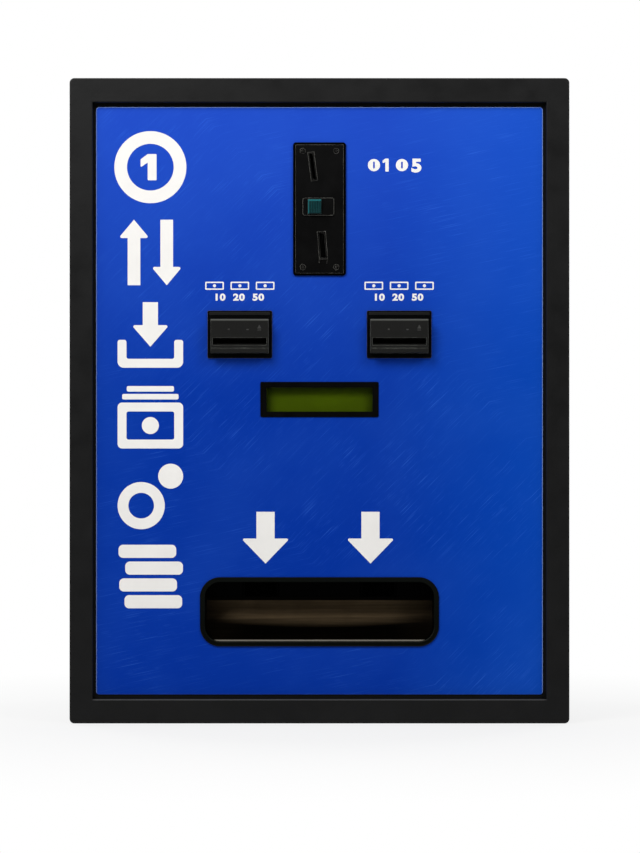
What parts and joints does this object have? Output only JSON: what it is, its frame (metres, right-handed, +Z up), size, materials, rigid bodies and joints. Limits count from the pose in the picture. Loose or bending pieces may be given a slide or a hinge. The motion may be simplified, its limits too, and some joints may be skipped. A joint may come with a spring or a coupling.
{
  "type": "coin changer dispenser",
  "caption": "Rear-loading change machine for building into a wall: trim frame, coin acceptor, note readers, display and payout cup in front; coin hoppers, cassettes and coin box inside.",
  "frame": {"origin": "bottom of the machine, mid-width, in the wall plane where the back of the trim frame bears", "axes": "+X to the right as a customer faces the machine, +Y into the wall, +Z up"},
  "size_m": [0.67, 0.529, 0.865],
  "materials": {
    "black_trim": "semi-matt black powder coat",
    "zinc_sheet": "zinc-plated sheet steel",
    "zinc_fastener": "zinc-plated",
    "blue_overlay": "printed polycarbonate, satin",
    "black_plastic": "moulded, fine grain",
    "clear_window": "clear",
    "display_green": "liquid crystal, olive green",
    "black_acceptor": "black coated zinc casting",
    "teal_button": "translucent teal, ribbed",
    "spring_steel": "bright",
    "grey_plastic": "moulded",
    "roller_rubber": "matt",
    "cassette_black": "moulded",
    "scoop_steel": "brushed, warm",
    "hopper_plastic": "moulded",
    "bin_plastic": "moulded, pale grey",
    "motor_metal": "grey",
    "disc_brass": "worn",
    "foot_rubber": "matt",
    "bail_chrome": "bright",
    "board_green": "solder mask",
    "supply_aluminium": "perforated",
    "rocker_red": "glossy",
    "door_paint": "semi-matt black powder coat",
    "handle_chrome": "bright",
    "plug_brass": "bright"
  },
  "bodies": {
    "cabinet": {"trim_frame": "black_trim", "trim_nuts": "zinc_fastener", "face_plate": "zinc_sheet", "graphic_overlay": "blue_overlay", "display_bezel": "black_plastic", "display_window": "clear_window", "display_module": "display_green", "acceptor_faceplate": "black_acceptor", "acceptor_screws": "zinc_fastener", "button_spring": "spring_steel", "coin_acceptor_body": "grey_plastic", "coin_drop_tube": "zinc_sheet", "note_bezel_left": "black_plastic", "note_bezel_right": "black_plastic", "reader_head_left": "grey_plastic", "reader_head_right": "grey_plastic", "coin_cup": "black_plastic", "scoop_plate": "scoop_steel", "payout_chute_left": "zinc_sheet", "payout_chute_right": "zinc_sheet", "side_panel_left": "zinc_sheet", "side_panel_right": "zinc_sheet", "top_panel": "zinc_sheet", "base_panel": "zinc_sheet", "feet": "foot_rubber", "hopper_shelf": "zinc_sheet", "control_board": "board_green", "power_supply": "supply_aluminium", "power_inlet": "black_plastic", "hinge_leaves_cabinet": "zinc_fastener", "hinge_pins": "zinc_fastener"},
    "return_button": {"return_button": "teal_button"},
    "return_lever": {"return_lever": "zinc_sheet"},
    "drive_roller_left": {"drive_roller_left": "roller_rubber"},
    "idler_roller_left": {"idler_roller_left": "roller_rubber"},
    "note_cassette_left": {"note_cassette_left": "cassette_black"},
    "cassette_door_left": {"cassette_door_left": "cassette_black"},
    "hopper_left": {"hopper_base_left": "hopper_plastic", "hopper_motor_left": "motor_metal", "coin_bin_left": "bin_plastic"},
    "hopper_disc_left": {"hopper_disc_left": "disc_brass"},
    "drive_roller_right": {"drive_roller_right": "roller_rubber"},
    "idler_roller_right": {"idler_roller_right": "roller_rubber"},
    "note_cassette_right": {"note_cassette_right": "cassette_black"},
    "cassette_door_right": {"cassette_door_right": "cassette_black"},
    "hopper_right": {"hopper_base_right": "hopper_plastic", "hopper_motor_right": "motor_metal", "coin_bin_right": "bin_plastic"},
    "hopper_disc_right": {"hopper_disc_right": "disc_brass"},
    "coin_box": {"coin_box": "zinc_sheet"},
    "coin_box_bail": {"coin_box_bail": "bail_chrome"},
    "power_rocker": {"power_rocker": "rocker_red"},
    "rear_door": {"rear_door": "door_paint", "handle_escutcheon": "handle_chrome", "hinge_leaves_door": "zinc_fastener"},
    "door_handle": {"door_handle": "handle_chrome", "latch_cam": "zinc_fastener"},
    "lock_plug": {"lock_plug": "plug_brass"},
    "latch_rod_upper": {"latch_rod_upper": "zinc_fastener"},
    "latch_rod_lower": {"latch_rod_lower": "zinc_fastener"}
  },
  "joints": [
    {"name": "return_button_push", "type": "slide", "parent": "cabinet", "child": "return_button", "axis": [0, 1, 0], "range_m": [0, 0.004], "stiffness_N_per_m": 250, "springref_m": -0.004, "deforming": ["button_spring"]},
    {"name": "return_lever_swing", "type": "hinge", "parent": "cabinet", "child": "return_lever", "pos_m": [-0.0065, 0.0163, 0.716], "axis": [1, 0, 0], "range_deg": [0, 12]},
    {"name": "drive_roller_left_spin", "type": "hinge", "parent": "cabinet", "child": "drive_roller_left", "pos_m": [-0.107, 0.04, 0.5033], "axis": [1, 0, 0], "continuous": true},
    {"name": "idler_roller_left_spin", "type": "hinge", "parent": "cabinet", "child": "idler_roller_left", "pos_m": [-0.107, 0.04, 0.5203], "axis": [1, 0, 0], "continuous": true},
    {"name": "note_cassette_left_lift", "type": "slide", "parent": "cabinet", "child": "note_cassette_left", "axis": [0, 0, 1], "range_m": [0, 0.09]},
    {"name": "cassette_door_left_swing", "type": "hinge", "parent": "note_cassette_left", "child": "cassette_door_left", "pos_m": [-0.061, 0.15, 0.64], "axis": [0, 0, -1], "range_deg": [0, 100]},
    {"name": "hopper_left_slide", "type": "slide", "parent": "cabinet", "child": "hopper_left", "axis": [0, 1, 0], "range_m": [0, 0.04]},
    {"name": "hopper_disc_left_spin", "type": "hinge", "parent": "hopper_left", "child": "hopper_disc_left", "pos_m": [-0.12, 0.24, 0.25], "axis": [0, 0, 1], "continuous": true},
    {"name": "drive_roller_right_spin", "type": "hinge", "parent": "cabinet", "child": "drive_roller_right", "pos_m": [0.107, 0.04, 0.5033], "axis": [1, 0, 0], "continuous": true},
    {"name": "idler_roller_right_spin", "type": "hinge", "parent": "cabinet", "child": "idler_roller_right", "pos_m": [0.107, 0.04, 0.5203], "axis": [1, 0, 0], "continuous": true},
    {"name": "note_cassette_right_lift", "type": "slide", "parent": "cabinet", "child": "note_cassette_right", "axis": [0, 0, 1], "range_m": [0, 0.09]},
    {"name": "cassette_door_right_swing", "type": "hinge", "parent": "note_cassette_right", "child": "cassette_door_right", "pos_m": [0.153, 0.15, 0.64], "axis": [0, 0, -1], "range_deg": [0, 100]},
    {"name": "hopper_right_slide", "type": "slide", "parent": "cabinet", "child": "hopper_right", "axis": [0, 1, 0], "range_m": [0, 0.04]},
    {"name": "hopper_disc_right_spin", "type": "hinge", "parent": "hopper_right", "child": "hopper_disc_right", "pos_m": [0.12, 0.24, 0.25], "axis": [0, 0, 1], "continuous": true},
    {"name": "coin_box_slide", "type": "slide", "parent": "cabinet", "child": "coin_box", "axis": [0, 1, 0], "range_m": [0, 0.08]},
    {"name": "coin_box_bail_swing", "type": "hinge", "parent": "coin_box", "child": "coin_box_bail", "pos_m": [0, 0.338, 0.082], "axis": [1, 0, 0], "range_deg": [0, 120]},
    {"name": "power_rocker_tilt", "type": "hinge", "parent": "cabinet", "child": "power_rocker", "pos_m": [0.319, 0.367, 0.095], "axis": [0, 0, -1], "range_deg": [0, 16]},
    {"name": "rear_door_swing", "type": "hinge", "parent": "cabinet", "child": "rear_door", "pos_m": [-0.325, 0.441, 0.4325], "axis": [0, 0, 1], "range_deg": [0, 110]},
    {"name": "door_handle_turn", "type": "hinge", "parent": "rear_door", "child": "door_handle", "pos_m": [0.258, 0.465, 0.4325], "axis": [0, 1, 0], "range_deg": [0, 90]},
    {"name": "lock_plug_turn", "type": "hinge", "parent": "door_handle", "child": "lock_plug", "pos_m": [0.258, 0.48, 0.4325], "axis": [0, 1, 0], "range_deg": [0, 90]},
    {"name": "latch_rod_upper_slide", "type": "slide", "parent": "rear_door", "child": "latch_rod_upper", "axis": [0, 0, 1], "range_m": [0, 0.0181]},
    {"name": "latch_rod_lower_slide", "type": "slide", "parent": "rear_door", "child": "latch_rod_lower", "axis": [0, 0, -1], "range_m": [0, 0.0181]}
  ],
  "couplings": [
    {"joint": "return_lever_swing", "follows": "return_button_push", "rad_per_m": 50},
    {"joint": "idler_roller_left_spin", "follows": "drive_roller_left_spin", "ratio": -1},
    {"joint": "idler_roller_right_spin", "follows": "drive_roller_right_spin", "ratio": -1},
    {"joint": "latch_rod_upper_slide", "follows": "door_handle_turn", "m_per_rad": 0.011459},
    {"joint": "latch_rod_lower_slide", "follows": "door_handle_turn", "m_per_rad": 0.011459}
  ]
}
